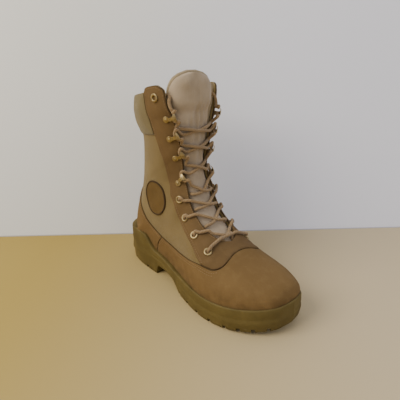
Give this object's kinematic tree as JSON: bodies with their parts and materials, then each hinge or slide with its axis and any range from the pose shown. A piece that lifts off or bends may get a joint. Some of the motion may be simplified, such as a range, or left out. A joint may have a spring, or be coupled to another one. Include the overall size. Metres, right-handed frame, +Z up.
{
  "type": "combat boot",
  "caption": "Laced desert combat boot, right foot, with a suede and textile upper, padded collar, speed hooks and a lugged rubber sole.",
  "frame": {"origin": "middle of the footprint box, on the ground under the sole", "axes": "+X towards the toe, +Y towards the inner side of the foot, +Z up"},
  "size_m": [0.2952, 0.107, 0.2804],
  "materials": {
    "textile": "sand woven textile, matt",
    "suede": "tan suede, matt",
    "facing_suede": "brown suede, matt",
    "collar_textile": "padded textile, matt",
    "tongue_textile": "soft padded textile, matt",
    "rubber": "moulded rubber, satin",
    "insole_foam": "textile over foam, matt",
    "brass": "aged brass, satin",
    "lace_cord": "braided cord, matt"
  },
  "bodies": {
    "root": {"outsole": "rubber", "insole": "insole_foam", "upper": "textile", "vamp": "suede", "heel_counter": "suede", "eyestay_lateral": "facing_suede", "eyestay_medial": "facing_suede", "collar": "collar_textile", "ankle_patch": "suede", "tongue": "tongue_textile", "eyelet_lateral_1": "brass", "eyelet_lateral_2": "brass", "eyelet_lateral_3": "brass", "eyelet_lateral_4": "brass", "eyelet_lateral_tab": "brass", "eyelet_medial_1": "brass", "eyelet_medial_2": "brass", "eyelet_medial_3": "brass", "eyelet_medial_4": "brass", "eyelet_medial_tab": "brass", "hook_lateral_1": "brass", "hook_lateral_2": "brass", "hook_lateral_3": "brass", "hook_lateral_4": "brass", "hook_medial_1": "brass", "hook_medial_2": "brass", "hook_medial_3": "brass", "hook_medial_4": "brass", "lace_bar": "lace_cord", "lace_crossing_1": "lace_cord", "lace_crossing_2": "lace_cord", "lace_crossing_3": "lace_cord", "lace_crossing_4": "lace_cord", "lace_crossing_5": "lace_cord", "lace_crossing_6": "lace_cord", "lace_crossing_7": "lace_cord", "lace_end_lateral": "lace_cord", "lace_end_medial": "lace_cord"}
  },
  "joints": []
}
